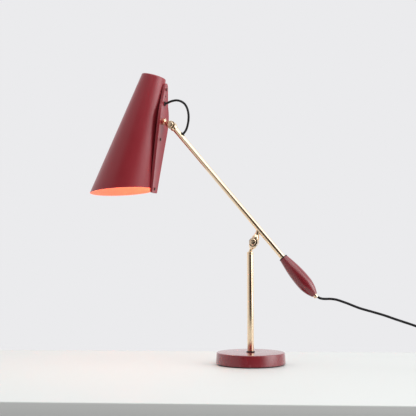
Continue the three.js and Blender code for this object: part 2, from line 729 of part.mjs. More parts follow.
// ------------------------------------------------------------------ lampholder and bulb
function addLampholder() {
  const wallAt = (height) => coneRadius(height) - wallAcross - bracketWallRoom;
  const shelf = bracketHeight + bracketThickness;
  const strip = new THREE.Shape([
    new THREE.Vector2(wallAt(bracketFoot), bracketFoot),
    new THREE.Vector2(wallAt(shelf), shelf),
    new THREE.Vector2(-bracketReach, shelf),
    new THREE.Vector2(-bracketReach, bracketHeight),
    new THREE.Vector2(wallAt(bracketHeight) - bracketThickness, bracketHeight),
    new THREE.Vector2(wallAt(bracketFoot) - bracketThickness, bracketFoot),
  ]);
  const bracket = new THREE.ExtrudeGeometry(strip, { depth: bracketWidth, bevelEnabled: false })
    .rotateX(Math.PI / 2)
    .translate(0, bracketWidth / 2, 0);
  const nippleHole = turned(rodProfile(nippleDiameter / 2 + gap, bracketHeight - 5, shelf + 5));
  const studHole = onCone(backRod(stubStudDiameter / 2 + gap, stubPlace, -20, 5));
  addPiece(shade, 'holder_bracket', cut(bracket, nippleHole, studHole), plainSteel);

  const holderTop = holderFoot + holderHeight;
  const socket = bulbCapDiameter / 2 + gap;
  const holder = turned([
    [0, holderFoot + holderSocketDepth], [socket, holderFoot + holderSocketDepth],
    [socket, holderFoot], [holderDiameter / 2, holderFoot], [holderDiameter / 2, holderTop - 14],
    [holderDiameter / 2 - 7, holderTop], [nippleDiameter / 2, holderTop],
    [nippleDiameter / 2, holderTop + nippleHeight], [0, holderTop + nippleHeight],
  ]);
  addPiece(shade, 'lampholder', holder, whitePorcelain);

  const capTopHeight = holderFoot + holderSocketDepth - gap;
  const capFootHeight = capTopHeight - bulbCapLength;
  const bulbCap = turned(rodProfile(bulbCapDiameter / 2, capFootHeight, capTopHeight));
  addPiece(shade, 'bulb_cap', bulbCap, plainSteel);

  const bulbRadius = bulbDiameter / 2;
  const neckFoot = capFootHeight - gap - bulbNeckLength;
  const neckAngle = Math.asin(bulbNeckRadius / bulbRadius);
  const bulbCentre = neckFoot - bulbRadius * Math.cos(neckAngle);
  const globe = [];
  const globeSteps = 10;
  for (let i = 0; i <= globeSteps; i += 1) {
    const angle = Math.PI - (i / globeSteps) * (Math.PI - neckAngle);
    globe.push([
      i === 0 ? 0 : bulbRadius * Math.sin(angle),
      bulbCentre + bulbRadius * Math.cos(angle),
    ]);
  }
  globe.push([bulbNeckRadius, capFootHeight - gap], [0, capFootHeight - gap]);
  addPiece(shade, 'bulb', turned(globe), opalGlass);

  addPiece(shade, 'holder_lead', lead(holderLeadRoute), blackTextile);
}

// ------------------------------------------------------------------ switch on the mains lead
// Its frame stands on the table under the switch's middle, its long side along Y.
function addSwitch() {
  const body = new THREE.Group();
  body.position.set(switchCentre.x, switchCentre.y, 0);
  const halfLength = switchLength / 2 - switchEdge;
  const halfWidth = switchWidth / 2 - switchEdge;
  const halfEnd = switchEndWidth / 2 - switchEdge;
  const taper = switchWidth / 2;
  const plan = new THREE.Shape([
    new THREE.Vector2(halfEnd, -halfLength),
    new THREE.Vector2(halfWidth, -halfLength + taper),
    new THREE.Vector2(halfWidth, halfLength - taper),
    new THREE.Vector2(halfEnd, halfLength),
    new THREE.Vector2(-halfEnd, halfLength),
    new THREE.Vector2(-halfWidth, halfLength - taper),
    new THREE.Vector2(-halfWidth, -halfLength + taper),
    new THREE.Vector2(-halfEnd, -halfLength),
  ]);
  const shell = new THREE.ExtrudeGeometry(plan, {
    depth: switchHeight - 2 * switchEdge,
    bevelThickness: switchEdge,
    bevelSize: switchEdge,
    bevelSegments: 3,
  }).translate(0, 0, switchEdge);
  const aboveSplit = block(far, far, far, 0, 0, switchSplit - gap / 2 + far / 2);
  const belowSplit = block(far, far, far, 0, 0, switchSplit + gap / 2 - far / 2);
  addPiece(body, 'switch_lower', cut(shell, aboveSplit), blackPlastic);

  const slot = block(rockerWidth + 2 * gap, rockerLength + 2.4, far, 0, 0, far / 2);
  const bearing = turnedAlong(rodProfile(trunnionRadius + gap, -trunnionReach - gap,
    trunnionReach + gap), smallSides).translate(0, 0, rockerPivotHeight);
  addPiece(body, 'switch_upper', cut(shell, belowSplit, slot, bearing), blackPlastic);

  // The rocker's side view, about its pivot: a round belly and two shallow flats on top.
  const half = rockerLength / 2;
  const side = new THREE.Shape([
    new THREE.Vector2(-half, 1), new THREE.Vector2(-half + 2.5, -2.5),
    new THREE.Vector2(half - 2.5, -2.5), new THREE.Vector2(half, 1),
    new THREE.Vector2(half, 5), new THREE.Vector2(0, 3.8), new THREE.Vector2(-half, 5),
  ]);
  const paddle = new THREE.ExtrudeGeometry(side, { depth: rockerWidth, bevelEnabled: false })
    .rotateX(Math.PI / 2)
    .rotateZ(Math.PI / 2)
    .translate(-rockerWidth / 2, 0, 0);
  const trunnions = turnedAlong(rodProfile(trunnionRadius, -trunnionReach, trunnionReach), smallSides);
  const rocker = joined(paddle, trunnions).rotateX(-rockerRest).translate(0, 0, rockerPivotHeight);
  addPiece(body, 'switch_rocker', rocker, blackPlastic);
  lamp.add(body);
}

// ------------------------------------------------------------------ coil, tie and plug
function addCoil() {
  const halfWidth = (coilColumns * cordDiameter) / 2;
  const height = coilLayers * cordDiameter;
  const ring = turned(ringProfile(coilMeanRadius - halfWidth, coilMeanRadius + halfWidth,
    0, height), 40);
  const spanRadial = 2 * halfWidth + 2 * tieThickness - 1;
  const spanHigh = height + tieThickness;
  // A band round the ring's section, grown by the given room on every side.
  const band = (room) => cut(
    block(spanRadial + 2 * room, tieWidth + 2 * room, spanHigh + 2 * room,
      coilMeanRadius, 0, spanHigh / 2),
    block(spanRadial - 2 * tieThickness - 2 * room, far, spanHigh - 2 * tieThickness - 2 * room,
      coilMeanRadius, 0, spanHigh / 2),
  ).rotateZ(tieAngle);
  const coil = cut(ring, band(gap)).translate(coilCentre.x, coilCentre.y, 0);
  addPiece(lamp, 'mains_coil', coil, blackTextile);
  addPiece(lamp, 'coil_tie', band(0).translate(coilCentre.x, coilCentre.y, 0), blackRubber);
}

function addPlug() {
  const middle = coilCentre.y + coilMeanRadius + cordDiameter;
  const front = plugLength - plugEdge;
  const halfWidth = plugWidth / 2 - plugEdge;
  const halfBoot = plugBootWidth / 2 - plugEdge;
  const plan = new THREE.Shape();
  plan.moveTo(plugEdge, -halfBoot);
  plan.lineTo(plugLength * 0.35, -halfBoot - 1);
  plan.lineTo(plugLength * 0.6, -halfWidth);
  plan.lineTo(front, -halfWidth);
  plan.lineTo(front, halfWidth);
  plan.lineTo(plugLength * 0.6, halfWidth);
  plan.lineTo(plugLength * 0.35, halfBoot + 1);
  plan.lineTo(plugEdge, halfBoot);
  plan.closePath();
  const place = (geometry) => geometry.rotateZ(Math.PI).translate(plugRear, middle, 0);
  const body = new THREE.ExtrudeGeometry(plan, {
    depth: plugHeight - 2 * plugEdge,
    bevelThickness: plugEdge,
    bevelSize: plugEdge,
    bevelSegments: 3,
  }).translate(0, 0, plugEdge);
  addPiece(lamp, 'plug_body', place(body), blackPlastic);
  [['a', -1], ['b', 1]].forEach(([letter, side]) => {
    const pin = turnedAlong(rodProfile(pinDiameter / 2, plugLength + gap,
      plugLength + gap + pinLength), smallSides).translate(0, side * (pinSpacing / 2), plugHeight / 2);
    addPiece(lamp, `plug_pin_${letter}`, place(pin), plainSteel);
  });
}

function addLeads() {
  addPiece(lamp, 'shade_loop', lead(shadeLoopRoute), blackTextile);
  addPiece(lamp, 'mains_cord_upper', lead(mainsUpperRoute), blackTextile);
  addPiece(lamp, 'mains_cord_lower', lead(mainsLowerRoute), blackTextile);
  addPiece(lamp, 'mains_cord_tail', lead(mainsTailRoute), blackTextile);
}

addBase();
addStem();
addStemKnuckle();
addArm();
addCounterweight();
placeShade();
addShadeShell();
addBackPlate();
addPlateFasteners();
addShadeKnuckle();
addLampholder();
addSwitch();
addCoil();
addPlug();
addLeads();
lamp.add(arm);
lamp.add(shade);

export default lamp;
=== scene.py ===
"""Architect desk lamp: its looks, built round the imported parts. Metres, +Z up.

The arm swings in the XZ plane, with the shade towards -X and the counterweight towards +X.
"""

import json
import math

import bpy
from mathutils import Matrix, Vector


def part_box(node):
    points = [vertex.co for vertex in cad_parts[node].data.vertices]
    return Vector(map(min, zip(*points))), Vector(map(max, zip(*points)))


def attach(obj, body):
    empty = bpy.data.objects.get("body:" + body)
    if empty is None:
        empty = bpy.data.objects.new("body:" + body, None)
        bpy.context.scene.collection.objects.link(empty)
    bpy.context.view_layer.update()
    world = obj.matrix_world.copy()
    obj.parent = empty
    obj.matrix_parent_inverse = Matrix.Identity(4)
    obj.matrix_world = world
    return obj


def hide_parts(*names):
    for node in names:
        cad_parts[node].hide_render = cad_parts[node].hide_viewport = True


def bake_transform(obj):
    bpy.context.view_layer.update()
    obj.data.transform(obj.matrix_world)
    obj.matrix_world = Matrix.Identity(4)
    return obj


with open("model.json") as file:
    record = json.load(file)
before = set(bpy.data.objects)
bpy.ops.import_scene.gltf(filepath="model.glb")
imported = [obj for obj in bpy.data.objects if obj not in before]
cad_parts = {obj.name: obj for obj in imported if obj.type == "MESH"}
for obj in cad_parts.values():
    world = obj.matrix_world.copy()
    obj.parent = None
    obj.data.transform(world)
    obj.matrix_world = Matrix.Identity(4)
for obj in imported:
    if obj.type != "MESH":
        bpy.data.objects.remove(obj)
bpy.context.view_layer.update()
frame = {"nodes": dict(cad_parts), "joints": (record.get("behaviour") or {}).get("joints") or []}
nodes = frame["nodes"]
joints = {joint["name"]: joint for joint in frame["joints"]}

MM = 0.001
GAP = 0.3 * MM  # room between two pieces that touch

# ------------------------------------------------------------------ camera, floor and light
CAMERA_PLACE = (0.3816, -1.6871, 0.2091)
CAMERA_TURN = math.radians(16)
CAMERA_RISE = math.radians(5.02)
CAMERA_LENS = 64.04
CAMERA_SENSOR = 36

WALL_COLOUR = "#ebebed"
# The room round the lamp, from behind the camera (0) to the wall (1), as place and colour.
ROOM_DARK = (0.06, "#2a2420")
ROOM_DIM = (0.13, "#b0aeaf")
ROOM_PALE = (0.62, "#ececee")
ROOM_BRIGHTNESS = 1.15
WINDOW_DIRECTION = (0.95, -0.08, 0.3)
WINDOW_BRIGHTNESS = 7  # at its middle, against the wall's
WINDOW_EDGE = 0.83  # cosine of the angle at which it fades into the room
SKY_PLACE = (0.5, -0.6, 2.2)
SKY_AIM = (0, 0, 0.2)
SKY_SIZE = (2.6, 2.6)
SKY_POWER = 32

TABLE_BACK = 0.285  # from the lamp's stem to the table's back edge
TABLE_FRONT = 0.52
TABLE_HALF_WIDTH = 1.6
TABLE_THICKNESS = 0.03
TABLE_TURN = math.radians(12.6)

# ------------------------------------------------------------------ the lamp's own sizes
BASE_TOP_RADIUS = 78.5 * MM
BASE_FOOT_RADIUS = 80 * MM
BASE_EDGE = 2 * MM
BASE_FOOT_EDGE = 0.8 * MM
RECESS_RADIUS = 20 * MM
RECESS_DEPTH = 11 * MM
ROD_HOLE_RADIUS = 3.3 * MM
FELT_EDGE = 0.6 * MM

STEM_RADIUS = 7.5 * MM
STEM_WALL = 1.5 * MM
CAP_SHOULDER = 1.6 * MM  # from the tube's end up to the groove
CAP_GROOVE_DEPTH = 0.4 * MM
CAP_GROOVE_WIDTH = 0.85 * MM
CAP_GROOVE_SLOPE = 0.25 * MM
CAP_EDGE = 1.2 * MM

ARM_SLOPE = math.radians(50)  # below the horizontal, towards the counterweight
ARM_OFFSET = 28.6 * MM  # from the stem pivot to the arm's axis
ARM_RADIUS = 6.5 * MM
ARM_WALL = 1 * MM
ARM_REACH = 335 * MM
ARM_TAIL = 95 * MM
ARM_CORD_HOLE = 315 * MM
ARM_HOLE_RADIUS = 4.5 * MM
DRILL_REACH = 30 * MM  # longer than any wall that a drill goes through
PLATE_DRILL_START = -20 * MM

WEIGHT_START = 74 * MM
WEIGHT_LENGTH = 109 * MM
WEIGHT_START_RADIUS = 10.1 * MM
WEIGHT_FULL_RADIUS = 17.25 * MM
WEIGHT_TIP_RADIUS = 7 * MM
COLLAR_RADIUS = 10.25 * MM
COLLAR_WIDTH = 2.2 * MM
FERRULE_RADIUS = 5 * MM
FERRULE_TIP_RADIUS = 4.3 * MM
FERRULE_LENGTH = 25 * MM
FERRULE_PROUD = 7 * MM

SHADE_LEAN = math.radians(15.05)
MOUTH_RADIUS = 76.4 * MM
SHADE_HEIGHT = 290 * MM
SHADE_TAPER = 0.1575  # radius lost for each unit of height
SHADE_WALL = 1.2 * MM
MOUTH_SLOPE = math.radians(18.4)
SHADE_TOP_RISE = 6.3 * MM
SHADE_TOP_EDGE = 3.2 * MM
CROWN_STEPS = 8
MOUTH_SPARE = 10 * MM  # of cone below the mouth, before it is cut
SHADE_PIVOT_OUT = 30.6 * MM  # from the cone's back line to the pivot
SHADE_PIVOT_UP = 182 * MM  # along the back line

PLATE_BOTTOM = 14 * MM
PLATE_TOP = 285 * MM
PLATE_FOOT_HALF = 17.6 * MM
PLATE_FULL_HALF = 33.5 * MM
PLATE_THICKNESS = 1.5 * MM
PLATE_RIM_DEPTH = 6.5 * MM  # of the edge folded in towards the cone
PRISM_DEPTH = 60 * MM
DISH_HALF_ANGLE = math.radians(22)
PLATE_DISH_RADIUS = 102 * MM
PLATE_FOOT_OFFSET = 2.85 * MM
PLATE_TILT = math.radians(0.65)
PLATE_HOLES = ((253 * MM, 2.25 * MM), (234.5 * MM, 5.1 * MM))  # place and radius
PLATE_CURVE_STEPS = 12
SHEET_SPARE = 10 * MM  # of sheet past the plate's top, before it is cut

BULB_RADIUS = 22.5 * MM
BULB_NECK_RADIUS = 12 * MM
BULB_NECK_LENGTH = 5 * MM
BULB_NECK_EDGE = 1 * MM
BULB_CAP_HALF = 13 * MM  # half of the cap's length
BULB_LIGHT_POWER = 0.8
BULB_LIGHT_RADIUS = 15 * MM
BULB_LIGHT_DROP = 18 * MM  # from the globe's lowest point to the light

CORD_DIAMETER = 5.5 * MM
CORD_SIDES = 20
CORD_SAMPLE = 1.4 * MM  # from one ring of the tube to the next
BRAID_PITCH = 3.2 * MM  # one yarn's step along the cord

COIL_CENTRE = (606 * MM, 38 * MM)
COIL_RADII = (35.5 * MM, 30 * MM, 24.5 * MM)  # the columns of turns, outside first
COIL_STEP = 15  # degrees from one point of a turn to the next
COIL_CHANGE = 150  # degrees in which a turn changes its radius or height
COIL_LAST_TURN = 90  # degrees that the last turn runs before the lead leaves for the plug
COIL_LOW = 2.75 * MM
COIL_HIGH = 8.25 * MM
TIE_TURN = math.radians(225)
TIE_WIDTH = 8 * MM
TIE_THICKNESS = 0.7 * MM

SPIN_WELD = 0.004 * MM
SHEET_WELD = 0.01 * MM

# The lead's route where it isn't coiled, in metres.
MAINS_UPPER = [
    (0.1561, 0, 0.1553), (0.160, 0, 0.1529), (0.166, 0, 0.1513), (0.173, 0, 0.1509),
    (0.184, 0, 0.1511), (0.197, 0, 0.1496), (0.210, 0, 0.1456), (0.223, 0, 0.141),
    (0.248, 0, 0.1314), (0.275, 0, 0.1238), (0.301, 0, 0.1164), (0.326, 0, 0.1079),
    (0.352, 0, 0.0995), (0.368, 0, 0.0942), (0.395, 0, 0.0845), (0.4157, 0.001, 0.0735),
    (0.4364, 0.004, 0.0605), (0.4555, 0.009, 0.046), (0.4737, 0.016, 0.031),
    (0.4903, 0.024, 0.0185), (0.5069, 0.032, 0.009), (0.521, 0.037, 0.0042),
    (0.534, 0.038, 0.003), (0.546, 0.035, 0.0033), (0.5548, 0.0275, 0.0049),
    (0.5589, 0.019, 0.0066), (0.559, 0.0131, 0.007),
]
MAINS_LOWER = [
    (0.559, -0.0401, 0.007), (0.5591, -0.0455, 0.0066), (0.562, -0.054, 0.0046),
    (0.570, -0.0615, 0.003), (0.580, -0.0655, 0.00275), (0.591, -0.066, 0.00275),
    (0.605, -0.061, 0.00275), (0.619, -0.049, 0.00275), (0.630, -0.032, 0.00275),
    (0.637, -0.012, 0.00275), (0.6406, 0.006, 0.00275), (0.6414, 0.0174, 0.00275),
]
MAINS_TAIL = [
    (0.592, 0.0735, 0.0082), (0.5855, 0.0735, 0.008), (0.580, 0.0735, 0.0072),
    (0.5744, 0.0735, 0.0069),
]
THROUGH_SWITCH = [(0.559, -0.0045, 0.007), (0.559, -0.022, 0.007)]
COIL_ENTRY = (0.6415, 0.028, 0.00275)
# The short lead's route from the shade's back plate to the arm, in metres.
SHADE_LOOP = [
    (-0.2215, 0, 0.6234), (-0.2165, 0, 0.6227), (-0.2115, 0, 0.6226), (-0.2045, 0, 0.6246),
    (-0.194, 0, 0.628), (-0.182, 0, 0.6291), (-0.171, 0, 0.626), (-0.1615, 0, 0.619),
    (-0.155, 0, 0.608), (-0.1516, 0, 0.594), (-0.1514, 0, 0.579), (-0.1536, 0, 0.566),
    (-0.1564, 0, 0.557), (-0.1605, 0, 0.5499), (-0.1652, 0, 0.5456), (-0.1687, 0, 0.54265),
]

# ------------------------------------------------------------------ frames of the moving bodies
stem_pivot = Vector(joints["arm_tilt"]["pos_m"])
shade_pivot = Vector(joints["shade_tilt"]["pos_m"])
arm_frame = Matrix.Translation(stem_pivot) @ Matrix.Rotation(ARM_SLOPE, 4, "Y")
along_arm = (
    arm_frame
    @ Matrix.Translation((0, 0, ARM_OFFSET))
    @ Matrix.Rotation(math.radians(90), 4, "Y")
)
back_lean = math.atan(SHADE_TAPER)
back_in_shade = Matrix.Translation((MOUTH_RADIUS, 0, 0)) @ Matrix.Rotation(-back_lean, 4, "Y")
pivot_in_shade = back_in_shade @ Vector((SHADE_PIVOT_OUT, 0, SHADE_PIVOT_UP))
shade_frame = (
    Matrix.Translation(shade_pivot)
    @ Matrix.Rotation(SHADE_LEAN, 4, "Y")
    @ Matrix.Translation(-pivot_in_shade)
)
back_frame = shade_frame @ back_in_shade


# ------------------------------------------------------------------ small tools
def linear(hex_colour):
    """An sRGB hex colour as linear RGBA."""
    channels = [int(hex_colour[i : i + 2], 16) / 255 for i in (1, 3, 5)]
    return [c / 12.92 if c <= 0.04045 else ((c + 0.055) / 1.055) ** 2.4 for c in channels] + [1.0]


def add_node(tree, kind, inputs=None, **settings):
    """Adds a node. Each input is a value, or the socket that feeds it."""
    made = tree.nodes.new(kind)
    for key, value in settings.items():
        setattr(made, key, value)
    for key, value in (inputs or {}).items():
        if isinstance(value, bpy.types.NodeSocket):
            tree.links.new(value, made.inputs[key])
        else:
            made.inputs[key].default_value = value
    return made


def new_material(name, **values):
    """A material with one Principled shader, and its tree and shader to work on."""
    material = bpy.data.materials.new(name)
    material.use_nodes = True
    tree = material.node_tree
    shader = tree.nodes["Principled BSDF"]
    for key, value in values.items():
        shader.inputs[key.replace("_", " ")].default_value = value
    return material, tree, shader


def select_only(piece):
    bpy.ops.object.select_all(action="DESELECT")
    piece.select_set(True)
    bpy.context.view_layer.objects.active = piece


def draw_profile(name, profile):
    """A new piece holding one chain of edges through (radius, height) points, left in edit mode."""
    bpy.ops.object.select_all(action="DESELECT")
    bpy.ops.mesh.primitive_plane_add(size=1 * MM)
    piece = bpy.context.object
    piece.name = name
    bpy.ops.object.mode_set(mode="EDIT")
    bpy.ops.mesh.select_mode(type="VERT")
    bpy.ops.mesh.select_all(action="SELECT")
    bpy.ops.mesh.merge(type="CENTER")
    bpy.ops.transform.translate(value=(profile[0][0], 0, profile[0][1]))
    for (radius, height), (next_radius, next_height) in zip(profile, profile[1:]):
        bpy.ops.mesh.extrude_vertices_move(
            TRANSFORM_OT_translate={"value": (next_radius - radius, 0, next_height - height)}
        )
    bpy.ops.mesh.select_all(action="SELECT")
    return piece


def apply_modifier(piece, kind, **settings):
    select_only(piece)
    modifier = piece.modifiers.new(kind.title(), kind)
    for key, value in settings.items():
        setattr(modifier, key, value)
    bpy.ops.object.modifier_apply(modifier=modifier.name)


def carve(piece, operation, tool):
    """Cuts a piece by a tool, which is then removed."""
    apply_modifier(piece, "BOOLEAN", operation=operation, object=tool, solver="EXACT")
    bpy.data.objects.remove(tool)


def soften_edges(piece, width, segments=3):
    apply_modifier(
        piece,
        "BEVEL",
        width=width,
        segments=segments,
        limit_method="ANGLE",
        angle_limit=math.radians(40),
        harden_normals=False,
    )


def settle(piece, place=None, smooth_angle=35):
    """Shades a piece smooth and puts its place into its mesh."""
    select_only(piece)
    bpy.ops.object.shade_smooth_by_angle(angle=math.radians(smooth_angle))
    if place is not None:
        piece.matrix_world = place
    bpy.ops.object.transform_apply(location=True, rotation=True, scale=True)
    return piece


def turned(name, profile, place=None, steps=96, edge=0.0):
    """A piece turned from its (radius, height) profile about Z, then set at its place."""
    piece = draw_profile(name, profile)
    bpy.ops.mesh.spin(steps=steps, angle=math.tau, center=(0, 0, 0), axis=(0, 0, 1))
    bpy.ops.mesh.select_all(action="SELECT")
    bpy.ops.mesh.remove_doubles(threshold=SPIN_WELD)
    bpy.ops.mesh.normals_make_consistent(inside=False)
    bpy.ops.object.mode_set(mode="OBJECT")
    if edge:
        soften_edges(piece, edge)
    return settle(piece, place)


def ring_profile(inner, outer, low, high):
    return [(inner, low), (outer, low), (outer, high), (inner, high), (inner, low)]


def arc(centre_radius, centre_height, radius, first, last, steps):
    """Points of a round edge, from one angle to another, in degrees."""
    points = []
    for i in range(steps + 1):
        angle = math.radians(first + (last - first) * i / steps)
        points.append(
            (centre_radius + radius * math.cos(angle), centre_height + radius * math.sin(angle))
        )
    return points


def paint(piece, *materials):
    piece.data.materials.clear()
    for material in materials:
        piece.data.materials.append(material)


def put(piece, body, material, slot, *stands_for):
    """Gives a finished piece its material and body, and hides the CAD nodes that it stands for. The
    slot is not used.
    """
    if material:
        paint(piece, material)
    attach(piece, body)
    if stands_for:
        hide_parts(*stands_for)


def smooth_path(points, step):
    """A smooth curve through the points, as points a step apart (centripetal Catmull-Rom)."""
    line = [Vector(point) for point in points]
    line = [2 * line[0] - line[1], *line, 2 * line[-1] - line[-2]]
    dense = []
    for a, b, c, d in zip(line, line[1:], line[2:], line[3:]):
        ta = 0.0
        tb = ta + math.sqrt((b - a).length)
        tc = tb + math.sqrt((c - b).length)
        td = tc + math.sqrt((d - c).length)
        count = max(2, round((c - b).length / (step / 3)))
        for i in range(count):
            t = tb + (tc - tb) * i / count
            ab = a.lerp(b, (t - ta) / (tb - ta))
            bc = b.lerp(c, (t - tb) / (tc - tb))
            cd = c.lerp(d, (t - tc) / (td - tc))
            abc = ab.lerp(bc, (t - ta) / (tc - ta))
            bcd = bc.lerp(cd, (t - tb) / (td - tb))
            dense.append(abc.lerp(bcd, (t - tb) / (tc - tb)))
    dense.append(line[-2])
    even = [dense[0]]
    travelled = 0.0
    for before, after in zip(dense, dense[1:]):
        travelled += (after - before).length
        if travelled >= step:
            even.append(after)
            travelled = 0.0
    if (even[-1] - dense[-1]).length > step / 2:
        even.append(dense[-1])
    else:
        even[-1] = dense[-1]
    return even


def cord_tube(name, path, radius, sides):
    """A round tube along a path, with closed ends and a UV map of metres round and along it."""
    tangents = []
    for i in range(len(path)):
        tangents.append((path[min(i + 1, len(path) - 1)] - path[max(i - 1, 0)]).normalized())
    side = Vector((0, 1, 0))
    vertices = []
    along = [0.0]
    for i, (point, tangent) in enumerate(zip(path, tangents)):
        side = (side - tangent * side.dot(tangent)).normalized()
        across = tangent.cross(side)
        for k in range(sides):
            angle = math.tau * k / sides
            vertices.append(point + radius * (math.cos(angle) * side + math.sin(angle) * across))
        if i:
            along.append(along[-1] + (point - path[i - 1]).length)
    faces = []
    for i in range(len(path) - 1):
        for k in range(sides):
            a = i * sides + k
            b = i * sides + (k + 1) % sides
            faces.append((a, b, b + sides, a + sides))
    faces.append(tuple(reversed(range(sides))))
    faces.append(tuple(range(len(vertices) - sides, len(vertices))))
    mesh = bpy.data.meshes.new(name)
    mesh.from_pydata([tuple(v) for v in vertices], [], faces)
    uv = mesh.uv_layers.new(name="along_cord")
    round_cord = math.tau * radius
    for polygon in mesh.polygons[: (len(path) - 1) * sides]:
        k = polygon.index % sides
        i = polygon.index // sides
        corners = ((k, i), (k + 1, i), (k + 1, i + 1), (k, i + 1))
        for loop, (column, row) in zip(polygon.loop_indices, corners):
            uv.data[loop].uv = (round_cord * column / sides, along[row])
    mesh.update()
    piece = bpy.data.objects.new(name, mesh)
    bpy.context.scene.collection.objects.link(piece)
    select_only(piece)
    bpy.ops.object.shade_smooth_by_angle(angle=math.radians(60))
    return piece


# ------------------------------------------------------------------ camera
def add_camera():
    data = bpy.data.cameras.new("camera")
    data.lens = CAMERA_LENS
    data.sensor_width = CAMERA_SENSOR
    camera = bpy.data.objects.new("camera", data)
    camera.location = CAMERA_PLACE
    camera.rotation_euler = (math.pi / 2 + CAMERA_RISE, 0, CAMERA_TURN)
    bpy.context.scene.collection.objects.link(camera)
    bpy.context.scene.camera = camera


add_camera()


# ------------------------------------------------------------------ materials
NOISE_RANGE = (0.3, 0.7)  # between which a noise texture's values mostly lie
ORANGE_PEEL_SCALE = 420.0
BRAID_WAVE = 0.31  # the wave texture's scale for bands one unit apart


def object_place(tree):
    return add_node(tree, "ShaderNodeTexCoord").outputs["Object"]


def noise(tree, place, scale, detail=2.0):
    inputs = {"Vector": place, "Scale": scale, "Detail": detail}
    return add_node(tree, "ShaderNodeTexNoise", inputs).outputs["Fac"]


def shaded_colour(tree, share, dark, light):
    """A colour that goes from the dark one to the light one with the share."""
    inputs = {0: share, 6: linear(dark), 7: linear(light)}
    return add_node(tree, "ShaderNodeMix", inputs, data_type="RGBA").outputs[2]


def colour_by(tree, shader, share, dark, light):
    tree.links.new(shaded_colour(tree, share, dark, light), shader.inputs["Base Color"])


def roughness_by(tree, shader, share, low, high):
    inputs = {0: share, 1: NOISE_RANGE[0], 2: NOISE_RANGE[1], 3: low, 4: high}
    spread = add_node(tree, "ShaderNodeMapRange", inputs)
    tree.links.new(spread.outputs[0], shader.inputs["Roughness"])


def bump_by(tree, shader, height, strength, distance):
    inputs = {"Height": height, "Strength": strength, "Distance": distance}
    tree.links.new(add_node(tree, "ShaderNodeBump", inputs).outputs[0], shader.inputs["Normal"])


def enamel(name, light, dark, rough, coat):
    """Burgundy stove enamel, sprayed and baked: a deep even colour under a satin skin whose
    faint orange peel, about a millimetre across, breaks up the highlights."""
    material, tree, shader = new_material(name, Coat_Weight=coat, Coat_Roughness=0.15)
    place = object_place(tree)
    colour_by(tree, shader, noise(tree, place, 16.0, 3.0), dark, light)
    roughness_by(tree, shader, noise(tree, place, 60.0, 4.0), rough - 0.04, rough + 0.05)
    bump_by(tree, shader, noise(tree, place, ORANGE_PEEL_SCALE, 0.0), 0.1, 0.004 * MM)
    return material


def shade_lining():
    """The same enamel sprayed thinly inside. Its coral colour and faint glow are painted light,
    standing for the lamp's warm light filling it.
    """
    material, tree, shader = new_material(
        "shade_lining_painted_glow", Roughness=0.55, Emission_Strength=0.7
    )
    place = object_place(tree)
    # painted light: a coral colour, also fed to the emission as a faint glow, stands for the bulb's
    # warm light on the burgundy enamel
    colour = shaded_colour(tree, noise(tree, place, 40.0, 3.0), "#d86a54", "#dd745c")
    tree.links.new(colour, shader.inputs["Base Color"])
    tree.links.new(colour, shader.inputs["Emission Color"])
    bump_by(tree, shader, noise(tree, place, ORANGE_PEEL_SCALE), 0.2, 0.01 * MM)
    return material


def brass(name, turn, rough, light="#f6dfc0", dark="#eed2b0", line=0.22 * MM):
    """Brass, drawn or turned and then polished and lacquered: a warm pale metal whose fine
    lines, along the tube or round the turned piece, stretch its reflections a little."""
    material, tree, shader = new_material(name, Metallic=1.0, Coat_Weight=0.3, Coat_Roughness=0.1)
    place = object_place(tree)
    turned_place = add_node(
        tree, "ShaderNodeMapping", {"Vector": place, "Rotation": (0, turn, 0)}
    ).outputs[0]
    stretched = add_node(
        tree, "ShaderNodeMapping", {"Vector": turned_place, "Scale": (1, 1, 0.02)}
    ).outputs[0]
    lines = noise(tree, stretched, 1 / line, 3.0)
    cloud = noise(tree, place, 40.0, 4.0)
    colour_by(tree, shader, cloud, dark, light)
    roughness_by(tree, shader, cloud, rough - 0.04, rough + 0.06)
    bump_by(tree, shader, lines, 0.02, 0.001 * MM)
    return material


def braided_textile():
    """A black braid of spun yarn over the cores: two crossing families of small ridges, matt,
    with a soft sheen where the light grazes the fibres."""
    material, tree, shader = new_material(
        "braided_black_cotton", Sheen_Weight=0.35, Sheen_Roughness=0.4, Specular_IOR_Level=0.3
    )
    uv = add_node(tree, "ShaderNodeUVMap", uv_map="along_cord").outputs[0]
    ridges = []
    for slant in (math.radians(45), math.radians(-45)):
        turned_uv = add_node(
            tree, "ShaderNodeMapping", {"Vector": uv, "Rotation": (0, 0, slant)}
        ).outputs[0]
        wave = add_node(
            tree,
            "ShaderNodeTexWave",
            {"Vector": turned_uv, "Scale": BRAID_WAVE / BRAID_PITCH, "Distortion": 0.0},
            wave_type="BANDS",
            bands_direction="X",
        )
        ridges.append(wave.outputs["Fac"])
    braid = add_node(tree, "ShaderNodeMath", {0: ridges[0], 1: ridges[1]}, operation="MAXIMUM")
    fibre = noise(tree, object_place(tree), 1600.0, 3.0)
    height = add_node(tree, "ShaderNodeMath", {0: braid.outputs[0], 1: fibre}, operation="ADD")
    # painted shade: the grooves between the yarns are coloured darker than the ridges
    colour_by(tree, shader, braid.outputs[0], "#09090a", "#1d1c1e")
    roughness_by(tree, shader, fibre, 0.72, 0.92)
    bump_by(tree, shader, height.outputs[0], 0.7, 0.25 * MM)
    return material


def grained(name, light, dark, rough, grain, depth, **values):
    """A skin with one size of grain: moulded plastic, rubber, felt, porcelain or plated steel.
    The grain gives the small breaks in colour, gloss and light that the process leaves."""
    material, tree, shader = new_material(name, **values)
    texture = noise(tree, object_place(tree), 1 / grain, 4.0)
    colour_by(tree, shader, texture, dark, light)
    roughness_by(tree, shader, texture, rough - 0.06, rough + 0.06)
    bump_by(tree, shader, texture, 0.4, depth)
    return material


